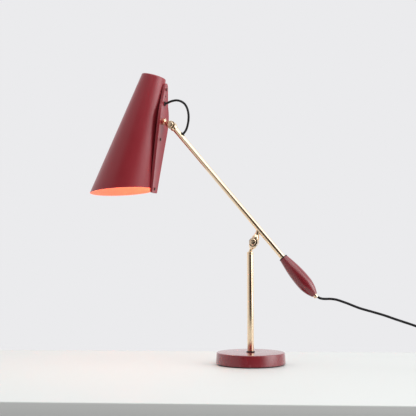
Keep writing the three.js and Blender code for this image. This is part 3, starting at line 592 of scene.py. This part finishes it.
def lit_opal_glass():
    """An opal bulb that is switched on: warm, with a glow that varies at random, and a glossy skin.
    """
    material, tree, shader = new_material(
        "opal_glass_lit", Base_Color=linear("#fff1dc"), Roughness=0.22, Emission_Strength=2.5
    )
    glow = shaded_colour(tree, noise(tree, object_place(tree), 30.0), "#ffc98a", "#ffe0b4")
    tree.links.new(glow, shader.inputs["Emission Color"])
    return material


shade_enamel = enamel("shade_enamel_satin", "#922d35", "#8a2830", 0.32, 0.05)
weight_enamel = enamel("weight_enamel_gloss", "#80242c", "#782028", 0.26, 0.5)
stem_brass = brass("drawn_brass_upright", 0.0, 0.2)
arm_brass = brass("drawn_brass_sloping", math.pi / 2 - ARM_SLOPE, 0.2)
knuckle_brass = brass("turned_brass", 0.0, 0.2, line=0.6 * MM)
browned_brass = brass("browned_brass", 0.0, 0.34, "#4a3026", "#38231c")
zinc_steel = grained("zinc_plated_steel", "#b4b6b6", "#96999a", 0.34, 1.5 * MM, 0.01 * MM,
                     Metallic=1.0)
black_rubber = grained("black_rubber_moulded", "#1b1b1d", "#121214", 0.62, 0.6 * MM, 0.03 * MM)
black_plastic = grained("black_abs_spark_grain", "#222225", "#19191b", 0.42, 0.35 * MM, 0.02 * MM)
grey_felt = grained("pressed_wool_felt", "#3b3b3e", "#242427", 0.94, 0.9 * MM, 0.3 * MM,
                    Sheen_Weight=0.4)
porcelain = grained("glazed_porcelain", "#f0ece2", "#e6e1d6", 0.16, 6 * MM, 0.02 * MM,
                    Coat_Weight=0.6)
textile = braided_textile()
opal = lit_opal_glass()
lining_painted_glow = shade_lining()


# ------------------------------------------------------------------ cords
def coil_points():
    """The turns of the spare lead: three low ones inwards, then two and a quarter high ones
    outwards. Each turn changes its column where its neighbours leave it room."""
    points = []
    outer, middle, inner = COIL_RADII
    # Turn by turn: the radius and the height that it starts and ends with, and the angle
    # from which they change.
    turns = [
        (outer, middle, COIL_LOW, COIL_LOW, 200),
        (middle, inner, COIL_LOW, COIL_LOW, 200),
        (inner, inner, COIL_LOW, COIL_HIGH, 210),
        (inner, middle, COIL_HIGH, COIL_HIGH, 60),
        (middle, outer, COIL_HIGH, COIL_HIGH, 60),
        (outer, outer, COIL_HIGH, COIL_HIGH, 60),
    ]
    for index, (start, end, low, high, change_at) in enumerate(turns):
        stop = COIL_LAST_TURN if index == len(turns) - 1 else 360
        for angle in range(0, stop, COIL_STEP):
            share = min(1.0, max(0.0, (angle - change_at) / COIL_CHANGE))
            share = share * share * (3 - 2 * share)
            radius = start + (end - start) * share
            points.append((
                COIL_CENTRE[0] + radius * math.cos(math.radians(angle)),
                COIL_CENTRE[1] + radius * math.sin(math.radians(angle)),
                low + (high - low) * share,
            ))
    points.append((COIL_CENTRE[0], COIL_CENTRE[1] + outer, COIL_HIGH))
    return points


def coil_tie():
    """A hook-and-loop strap round the turns: a flat band bent to the bundle's section."""
    half = (COIL_RADII[0] - COIL_RADII[2]) / 2 + CORD_DIAMETER / 2
    top = COIL_HIGH + CORD_DIAMETER / 2
    bpy.ops.object.select_all(action="DESELECT")
    bpy.ops.mesh.primitive_cube_add(size=1, location=(COIL_RADII[1], 0, top / 2))
    tie = bpy.context.object
    tie.name = "coil_strap"
    bpy.ops.transform.resize(value=(2 * half, TIE_WIDTH, top))
    bpy.ops.object.transform_apply(location=False, rotation=False, scale=True)
    bpy.ops.object.mode_set(mode="EDIT")
    bpy.ops.mesh.select_mode(type="FACE")
    bpy.ops.mesh.select_all(action="DESELECT")
    bpy.ops.object.mode_set(mode="OBJECT")
    for polygon in tie.data.polygons:
        polygon.select = abs(polygon.normal.y) > 0.5
    bpy.ops.object.mode_set(mode="EDIT")
    bpy.ops.mesh.delete(type="FACE")
    bpy.ops.mesh.select_all(action="SELECT")
    bpy.ops.mesh.subdivide(number_cuts=2)
    bpy.ops.object.mode_set(mode="OBJECT")
    apply_modifier(tie, "SOLIDIFY", thickness=TIE_THICKNESS, offset=0.4)
    soften_edges(tie, 0.25 * MM, 2)
    turn = Matrix.Translation((*COIL_CENTRE, TIE_THICKNESS / 2)) @ Matrix.Rotation(TIE_TURN, 4, "Z")
    centre = Matrix.Translation(tie.location)
    settle(tie, turn @ centre)
    return tie


def add_cords():
    tie = coil_tie()
    put(tie, "base", black_rubber, "black_rubber", "coil_tie")

    route = MAINS_UPPER + THROUGH_SWITCH + MAINS_LOWER + [COIL_ENTRY]
    route += coil_points() + MAINS_TAIL
    path = smooth_path(route, CORD_SAMPLE)
    mains = cord_tube("mains_lead", path, CORD_DIAMETER / 2, CORD_SIDES)
    paint(mains, textile)
    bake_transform(mains)
    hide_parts("mains_cord_upper", "mains_cord_lower", "mains_cord_tail", "mains_coil")

    loop_path = smooth_path(SHADE_LOOP, CORD_SAMPLE)
    loop = cord_tube("shade_loop_lead", loop_path, CORD_DIAMETER / 2, CORD_SIDES)
    paint(loop, textile)
    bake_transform(loop)
    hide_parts("shade_loop")


add_cords()


# ------------------------------------------------------------------ base and stem
def add_base():
    low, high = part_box("base_weight")
    foot, top = low.z, high.z
    ceiling = foot + RECESS_DEPTH
    profile = [
        (ROD_HOLE_RADIUS, ceiling),
        (RECESS_RADIUS, ceiling),
        (RECESS_RADIUS, foot),
        (BASE_FOOT_RADIUS - BASE_FOOT_EDGE, foot),
        (BASE_FOOT_RADIUS, foot + BASE_FOOT_EDGE),
        *arc(BASE_TOP_RADIUS - BASE_EDGE, top - BASE_EDGE, BASE_EDGE, 4, 90, 8),
        (BASE_TOP_RADIUS * 0.5, top),
        (ROD_HOLE_RADIUS, top),
        (ROD_HOLE_RADIUS, ceiling),
    ]
    weight = turned("base_weight_turned", profile, steps=160)
    put(weight, "base", weight_enamel, "enamel_iron", "base_weight")

    low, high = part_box("felt_pad")
    pad = turned(
        "felt_pad_cut",
        [(0, low.z), (high.x - FELT_EDGE / 3, low.z), (high.x, low.z + FELT_EDGE),
         (high.x - FELT_EDGE / 3, high.z), (0, high.z)],
        steps=120,
    )
    put(pad, "base", grey_felt, "felt", "felt_pad")


def add_stem():
    low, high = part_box("foot_washer")
    washer = turned(
        "foot_washer_turned",
        ring_profile(ROD_HOLE_RADIUS, high.x, low.z, high.z),
        steps=72,
        edge=0.5 * MM,
    )
    put(washer, "base", black_plastic, "black_plastic", "foot_washer")

    low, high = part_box("stem_tube")
    tube = turned(
        "stem_tube_drawn",
        ring_profile(STEM_RADIUS - STEM_WALL, STEM_RADIUS, low.z, high.z),
        steps=72,
        edge=0.3 * MM,
    )
    put(tube, "base", stem_brass, "brass", "stem_tube")

    low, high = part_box("stem_cap")
    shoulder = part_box("stem_tube")[1].z + GAP
    groove = shoulder + CAP_SHOULDER
    groove_radius = STEM_RADIUS - CAP_GROOVE_DEPTH
    spigot = STEM_RADIUS - STEM_WALL - GAP
    cap = turned(
        "stem_cap_turned",
        [(ROD_HOLE_RADIUS, low.z), (spigot, low.z), (spigot, shoulder), (STEM_RADIUS, shoulder),
         (STEM_RADIUS, groove), (groove_radius, groove + CAP_GROOVE_SLOPE),
         (groove_radius, groove + CAP_GROOVE_WIDTH - CAP_GROOVE_SLOPE),
         (STEM_RADIUS, groove + CAP_GROOVE_WIDTH),
         *arc(STEM_RADIUS - CAP_EDGE, high.z - CAP_EDGE, CAP_EDGE, 0, 90, 6),
         (ROD_HOLE_RADIUS, high.z), (ROD_HOLE_RADIUS, low.z)],
        steps=72,
    )
    put(cap, "base", stem_brass, "brass", "stem_cap")


# ------------------------------------------------------------------ arm and counterweight
def add_arm():
    tube = turned(
        "arm_tube_drawn",
        ring_profile(ARM_RADIUS - ARM_WALL, ARM_RADIUS, -ARM_REACH, ARM_TAIL),
        steps=72,
        edge=0.25 * MM,
    )
    drill = turned(
        "drill",
        [(0, 0), (ARM_HOLE_RADIUS, 0), (ARM_HOLE_RADIUS, DRILL_REACH), (0, DRILL_REACH)],
        Matrix.Translation((0, 0, -ARM_CORD_HOLE)) @ Matrix.Rotation(-math.pi / 2, 4, "Y"),
        steps=40,
    )
    carve(tube, "DIFFERENCE", drill)
    settle(tube, along_arm)
    put(tube, "arm", arm_brass, "brass", "arm_tube")

    collar = turned(
        "weight_collar_moulded",
        ring_profile(ARM_RADIUS + GAP, COLLAR_RADIUS, WEIGHT_START - GAP - COLLAR_WIDTH,
                     WEIGHT_START - GAP),
        along_arm,
        steps=72,
        edge=0.6 * MM,
    )
    put(collar, "arm", black_rubber, "black_rubber", "counterweight_collar")


def egg_outline():
    """The counterweight's outside: a slow swell to its full radius, then a round nose."""
    full = WEIGHT_FULL_RADIUS
    knots = [
        (WEIGHT_START_RADIUS, 0), (WEIGHT_START_RADIUS + 2.75 * MM, 0.147),
        (full - 2.25 * MM, 0.275), (full - 0.8 * MM, 0.404), (full, 0.57),
        (full - 0.65 * MM, 0.734), (full - 3.75 * MM, 0.862), (full - 6.05 * MM, 0.917),
        (WEIGHT_TIP_RADIUS + 0.9 * MM, 0.982), (WEIGHT_TIP_RADIUS, 1),
    ]
    places = [(radius, 0, WEIGHT_START + share * WEIGHT_LENGTH) for radius, share in knots]
    return [(point.x, point.z) for point in smooth_path(places, 2.2 * MM)]


def add_counterweight():
    end = WEIGHT_START + WEIGHT_LENGTH
    bore = CORD_DIAMETER / 2 + GAP
    seat = end + FERRULE_PROUD - FERRULE_LENGTH - GAP
    skin = egg_outline()
    profile = [
        *skin,
        (FERRULE_RADIUS + GAP, end), (FERRULE_RADIUS + GAP, seat), (bore, seat),
        (bore, ARM_TAIL + GAP), (ARM_RADIUS + GAP, ARM_TAIL + GAP),
        (ARM_RADIUS + GAP, WEIGHT_START), skin[0],
    ]
    weight = turned("counterweight_turned", profile, along_arm, steps=112)
    put(weight, "arm", weight_enamel, "enamel_iron", "counterweight")

    tip = end + FERRULE_PROUD
    ferrule = turned(
        "end_ferrule_turned",
        [(bore, tip - FERRULE_LENGTH), (FERRULE_RADIUS, tip - FERRULE_LENGTH),
         (FERRULE_RADIUS, end + 2 * MM), (FERRULE_TIP_RADIUS + 0.3 * MM, tip - 1.2 * MM),
         *arc(FERRULE_TIP_RADIUS - 0.6 * MM, tip - 0.6 * MM, 0.6 * MM, 0, 90, 5),
         (bore, tip), (bore, tip - FERRULE_LENGTH)],
        along_arm,
        steps=56,
    )
    put(ferrule, "arm", arm_brass, "brass", "end_ferrule")


# ------------------------------------------------------------------ shade
def cone_radius(height):
    return MOUTH_RADIUS - SHADE_TAPER * height


def add_shade():
    """The cone and its closed top in one spun sheet, cut along the mouth's slope."""
    below = -MOUTH_RADIUS * math.tan(MOUTH_SLOPE) - MOUTH_SPARE
    rim = cone_radius(SHADE_HEIGHT)
    edge_foot = SHADE_HEIGHT - 1 * MM
    outline = [(cone_radius(below), below), (cone_radius(edge_foot), edge_foot)]
    outline += arc(rim - SHADE_TOP_EDGE, SHADE_HEIGHT, SHADE_TOP_EDGE, 9, 78, 7)
    crown = SHADE_HEIGHT + SHADE_TOP_RISE
    start_radius, start_height = outline[-1]
    for i in range(1, CROWN_STEPS + 1):
        share = 1 - i / CROWN_STEPS
        outline.append((start_radius * share, crown - (crown - start_height) * share**2))
    shell = draw_profile("shade_spun", outline)
    bpy.ops.mesh.spin(steps=180, angle=math.tau, center=(0, 0, 0), axis=(0, 0, 1))
    bpy.ops.mesh.select_all(action="SELECT")
    bpy.ops.mesh.remove_doubles(threshold=SPIN_WELD)
    bpy.ops.mesh.normals_make_consistent(inside=False)
    bpy.ops.mesh.select_all(action="SELECT")
    bpy.ops.mesh.bisect(
        plane_co=(0, 0, 0),
        plane_no=(math.sin(MOUTH_SLOPE), 0, -math.cos(MOUTH_SLOPE)),
        clear_outer=True,
    )
    bpy.ops.object.mode_set(mode="OBJECT")
    # the inside faces get the lining with its painted glow
    paint(shell, shade_enamel, lining_painted_glow)
    apply_modifier(
        shell,
        "SOLIDIFY",
        thickness=SHADE_WALL,
        offset=-1,
        use_even_offset=True,
        material_offset=1,
    )
    soften_edges(shell, 0.35 * MM, 3)
    settle(shell, shade_frame)
    put(shell, "shade", None, "enamel_sheet", "shade_cone", "shade_top_cap")


def plate_outline():
    """Half of the back plate's leaf outline, as (half width, place along the cone)."""
    foot, full, top = PLATE_FOOT_HALF, PLATE_FULL_HALF, PLATE_TOP
    # Bezier curves by their four points: the foot's corner, the widest part and the top.
    curves = [
        ((foot - 8 * MM, PLATE_BOTTOM), (foot - 0.6 * MM, PLATE_BOTTOM),
         (foot - 0.4 * MM, PLATE_BOTTOM + 1 * MM), (foot, PLATE_BOTTOM + 10 * MM)),
        ((full - 2.9 * MM, top - 123 * MM), (full, top - 93 * MM),
         (full - 4 * MM, top - 69 * MM), (full - 12 * MM, top - 54 * MM)),
        ((full - 21 * MM, top - 18 * MM), (full - 24.5 * MM, top - 4 * MM),
         (full - 28 * MM, top), (0, top)),
    ]
    points = [(0, PLATE_BOTTOM)]
    for a, b, c, d in curves:
        for i in range(PLATE_CURVE_STEPS + 1):
            t = i / PLATE_CURVE_STEPS
            weights = ((1 - t) ** 3, 3 * t * (1 - t) ** 2, 3 * t**2 * (1 - t), t**3)
            points.append(tuple(
                sum(w * p[axis] for w, p in zip(weights, (a, b, c, d))) for axis in (0, 1)
            ))
    return points


def outline_prism(name):
    """The plate's outline as a tall closed prism standing across the plate."""
    right = plate_outline()
    left = [(-half, place) for half, place in reversed(right[1:-1])]
    prism = draw_profile(name, [*right, *left, right[0]])
    bpy.ops.mesh.remove_doubles(threshold=SHEET_WELD)
    bpy.ops.mesh.edge_face_add()
    bpy.ops.transform.rotate(value=math.pi / 2, orient_axis="Z", center_override=(0, 0, 0))
    bpy.ops.mesh.extrude_region_move(TRANSFORM_OT_translate={"value": (PRISM_DEPTH, 0, 0)})
    bpy.ops.mesh.select_all(action="SELECT")
    bpy.ops.transform.translate(value=(-PRISM_DEPTH / 3, 0, 0))
    bpy.ops.mesh.normals_make_consistent(inside=False)
    bpy.ops.object.mode_set(mode="OBJECT")
    return prism


def dished_sheet(name, thickness):
    """A sheet dished across its width, in the plate's place along the cone's back line."""
    sheet = draw_profile(name, [(0, 0), (0, PLATE_TOP + SHEET_SPARE)])
    bpy.ops.mesh.subdivide(number_cuts=40)
    bpy.ops.transform.rotate(
        value=-DISH_HALF_ANGLE, orient_axis="Z", center_override=(PLATE_DISH_RADIUS, 0, 0)
    )
    bpy.ops.mesh.spin(
        steps=44, angle=2 * DISH_HALF_ANGLE, center=(PLATE_DISH_RADIUS, 0, 0), axis=(0, 0, 1)
    )
    bpy.ops.mesh.select_all(action="SELECT")
    bpy.ops.mesh.remove_doubles(threshold=SHEET_WELD)
    bpy.ops.mesh.normals_make_consistent(inside=False)
    bpy.ops.object.mode_set(mode="OBJECT")
    outward = sum(p.normal.x for p in sheet.data.polygons) > 0
    apply_modifier(sheet, "SOLIDIFY", thickness=thickness, offset=-1 if outward else 1)
    sheet.matrix_world = (
        Matrix.Translation((PLATE_FOOT_OFFSET, 0, 0)) @ Matrix.Rotation(PLATE_TILT, 4, "Y")
    )
    bpy.ops.object.transform_apply(location=True, rotation=True, scale=True)
    return sheet


def add_back_plate():
    """The leaf-shaped plate: a dished sheet whose edge is folded in towards the cone."""
    plate = dished_sheet("back_plate_pressed", PLATE_RIM_DEPTH)
    carve(plate, "INTERSECT", outline_prism("plate_outline"))
    hollow = dished_sheet("plate_hollow", PLATE_RIM_DEPTH * 2)
    select_only(hollow)
    bpy.ops.object.mode_set(mode="EDIT")
    bpy.ops.mesh.select_all(action="SELECT")
    bpy.ops.transform.translate(value=(-PLATE_THICKNESS, 0, 0))
    bpy.ops.object.mode_set(mode="OBJECT")
    inner = outline_prism("plate_inner_outline")
    select_only(inner)
    bpy.ops.object.mode_set(mode="EDIT")
    bpy.ops.mesh.select_all(action="SELECT")
    narrow = 1 - PLATE_THICKNESS / PLATE_FULL_HALF
    short = 1 - 2 * PLATE_THICKNESS / (PLATE_TOP - PLATE_BOTTOM)
    bpy.ops.transform.resize(
        value=(1, narrow, short), center_override=(0, 0, (PLATE_TOP + PLATE_BOTTOM) / 2)
    )
    bpy.ops.object.mode_set(mode="OBJECT")
    carve(hollow, "INTERSECT", inner)
    carve(plate, "DIFFERENCE", hollow)
    for place, radius in PLATE_HOLES:
        drill = turned(
            "drill",
            [(0, PLATE_DRILL_START), (radius, PLATE_DRILL_START), (radius, DRILL_REACH),
             (0, DRILL_REACH)],
            Matrix.Translation((0, 0, place)) @ Matrix.Rotation(math.pi / 2, 4, "Y"),
            steps=40,
        )
        carve(plate, "DIFFERENCE", drill)
    soften_edges(plate, 0.3 * MM, 2)
    settle(plate, back_frame)
    put(plate, "shade", shade_enamel, "enamel_sheet", "back_plate")


def add_bulb():
    low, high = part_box("bulb_cap")
    cap_height = (shade_frame.inverted() @ ((low + high) / 2)).z
    neck_top = cap_height - BULB_CAP_HALF - GAP
    neck_foot = neck_top - BULB_NECK_LENGTH
    neck_angle = math.degrees(math.asin(BULB_NECK_RADIUS / BULB_RADIUS))
    centre = neck_foot - BULB_RADIUS * math.cos(math.radians(neck_angle))
    globe = [(0, centre - BULB_RADIUS)]
    globe += arc(0, centre, BULB_RADIUS, -87, 90 - neck_angle, 24)
    globe += [(BULB_NECK_RADIUS, neck_top - BULB_NECK_EDGE),
              (BULB_NECK_RADIUS - BULB_NECK_EDGE, neck_top), (0, neck_top)]
    bulb = turned("bulb_blown", globe, shade_frame, steps=72)
    put(bulb, "shade", opal, "bulb_glass", "bulb")

    light = bpy.data.lights.new("bulb_light", "POINT")
    light.energy = BULB_LIGHT_POWER
    light.color = linear("#ffd8b0")[:3]
    light.shadow_soft_size = BULB_LIGHT_RADIUS
    lamp = bpy.data.objects.new("bulb_light", light)
    lamp.location = shade_frame @ Vector((0, 0, centre - BULB_RADIUS - BULB_LIGHT_DROP))
    bpy.context.scene.collection.objects.link(lamp)
    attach(lamp, "shade")


add_base()
add_stem()
add_arm()
add_counterweight()
add_shade()
add_back_plate()
add_bulb()


# ------------------------------------------------------------------ parts kept from the frame
# Each row: the material, the width of the softened edges and the CAD nodes that get them.
KEPT = (
    (knuckle_brass, 0.5 * MM, ("stem_lug", "arm_lug", "arm_end_lug", "shade_lug")),
    (knuckle_brass, 0.35 * MM,
     ("stem_clamp_screw", "stem_clamp_nut", "shade_clamp_screw", "shade_clamp_nut")),
    (browned_brass, 0.2 * MM, ("plate_screw_1", "plate_screw_2", "plate_screw_3")),
    (zinc_steel, 0.2 * MM,
     ("base_nut", "base_nut_washer", "stem_rod", "plate_nut_1", "plate_nut_2", "plate_nut_3",
      "stub_nut", "holder_bracket", "bulb_cap", "plug_pin_a", "plug_pin_b")),
    (black_rubber, 0.3 * MM, ("arm_grommet", "plate_grommet")),
    (black_plastic, 0.4 * MM,
     ("stem_friction_washer", "shade_friction_washer", "switch_lower", "switch_upper",
      "switch_rocker", "plug_body")),
    (shade_enamel, 0.15 * MM, ("plate_spacer_1", "plate_spacer_2", "plate_spacer_3")),
    (porcelain, 0.8 * MM, ("lampholder",)),
    (black_rubber, 0.0, ("arm_lead", "holder_lead")),
)


def finish_kept_parts():
    """Materials and softened edges on the parts whose shape is already right."""
    for material, edge, names in KEPT:
        for name in names:
            part = nodes[name]
            paint(part, material)
            for polygon in part.data.polygons:
                polygon.use_smooth = True
            weld = part.modifiers.new("Weld", "WELD")
            weld.merge_threshold = 0.002 * MM
            if edge:
                bevel = part.modifiers.new("Bevel", "BEVEL")
                bevel.width = edge
                bevel.segments = 2
                bevel.limit_method = "ANGLE"
                bevel.angle_limit = math.radians(35)
            split = part.modifiers.new("Split", "EDGE_SPLIT")
            split.split_angle = math.radians(32)


finish_kept_parts()


# ------------------------------------------------------------------ table, wall light and lamps
def add_table():
    """A pale lacquered table top. Its back edge draws the line behind the lamp."""
    bpy.ops.object.select_all(action="DESELECT")
    depth = TABLE_BACK + TABLE_FRONT
    bpy.ops.mesh.primitive_cube_add(size=1)
    table = bpy.context.object
    table.name = "table"
    bpy.ops.transform.resize(value=(2 * TABLE_HALF_WIDTH, depth, TABLE_THICKNESS))
    bpy.ops.object.transform_apply(location=False, rotation=False, scale=True)
    soften_edges(table, 2 * MM, 3)
    place = Matrix.Rotation(TABLE_TURN, 4, "Z") @ Matrix.Translation(
        (0, (TABLE_BACK - TABLE_FRONT) / 2, -TABLE_THICKNESS / 2)
    )
    settle(table, place)
    paint(table, grained("white_lacquered_board", "#d0d3d0", "#ced1ce", 0.5, 2 * MM, 0.004 * MM))


def add_area(name, place, aim, size, power, colour):
    data = bpy.data.lights.new(name, "AREA")
    data.shape = "RECTANGLE"
    data.size, data.size_y = size
    data.energy = power
    data.color = linear(colour)[:3]
    light = bpy.data.objects.new(name, data)
    light.location = place
    light.rotation_euler = (Vector(aim) - Vector(place)).to_track_quat("-Z", "Y").to_euler()
    bpy.context.scene.collection.objects.link(light)


def add_world():
    """A pale wall colour to look at, and a softer room round it for the metal to reflect."""
    world = bpy.data.worlds.new("room")
    bpy.context.scene.world = world
    world.use_nodes = True
    tree = world.node_tree
    tree.nodes.clear()
    toward_wall = (-math.sin(CAMERA_TURN), math.cos(CAMERA_TURN), 0)
    direction = add_node(tree, "ShaderNodeTexCoord").outputs["Generated"]
    facing = add_node(
        tree, "ShaderNodeVectorMath", {0: direction, 1: toward_wall}, operation="DOT_PRODUCT"
    )
    room = add_node(tree, "ShaderNodeValToRGB", {"Fac": add_node(
        tree, "ShaderNodeMapRange", {0: facing.outputs["Value"], 1: -1.0, 2: 1.0}).outputs[0]})
    ramp = room.color_ramp
    for stop, (place, colour) in zip(ramp.elements, (ROOM_DARK, ROOM_PALE)):
        stop.position = place
        stop.color = linear(colour)
    ramp.elements.new(ROOM_DIM[0]).color = linear(ROOM_DIM[1])
    toward_window = add_node(
        tree,
        "ShaderNodeVectorMath",
        {0: direction, 1: WINDOW_DIRECTION},
        operation="DOT_PRODUCT",
    )
    glare = add_node(
        tree,
        "ShaderNodeMapRange",
        {
            0: toward_window.outputs["Value"],
            1: WINDOW_EDGE,
            2: 1.0,
            3: ROOM_BRIGHTNESS,
            4: WINDOW_BRIGHTNESS,
        },
        interpolation_type="SMOOTHSTEP",
    )
    lit = add_node(
        tree, "ShaderNodeBackground", {"Color": room.outputs[0], "Strength": glare.outputs[0]}
    )
    seen = add_node(
        tree, "ShaderNodeBackground", {"Color": linear(WALL_COLOUR), "Strength": 1.0}
    )
    looking = add_node(tree, "ShaderNodeLightPath").outputs["Is Camera Ray"]
    mix = add_node(tree, "ShaderNodeMixShader", {0: looking, 1: lit.outputs[0], 2: seen.outputs[0]})
    add_node(tree, "ShaderNodeOutputWorld", {"Surface": mix.outputs[0]})


add_table()
add_world()
add_area("sky_above", SKY_PLACE, SKY_AIM, SKY_SIZE, SKY_POWER, "#ffffff")
bpy.context.scene.view_settings.view_transform = "Standard"
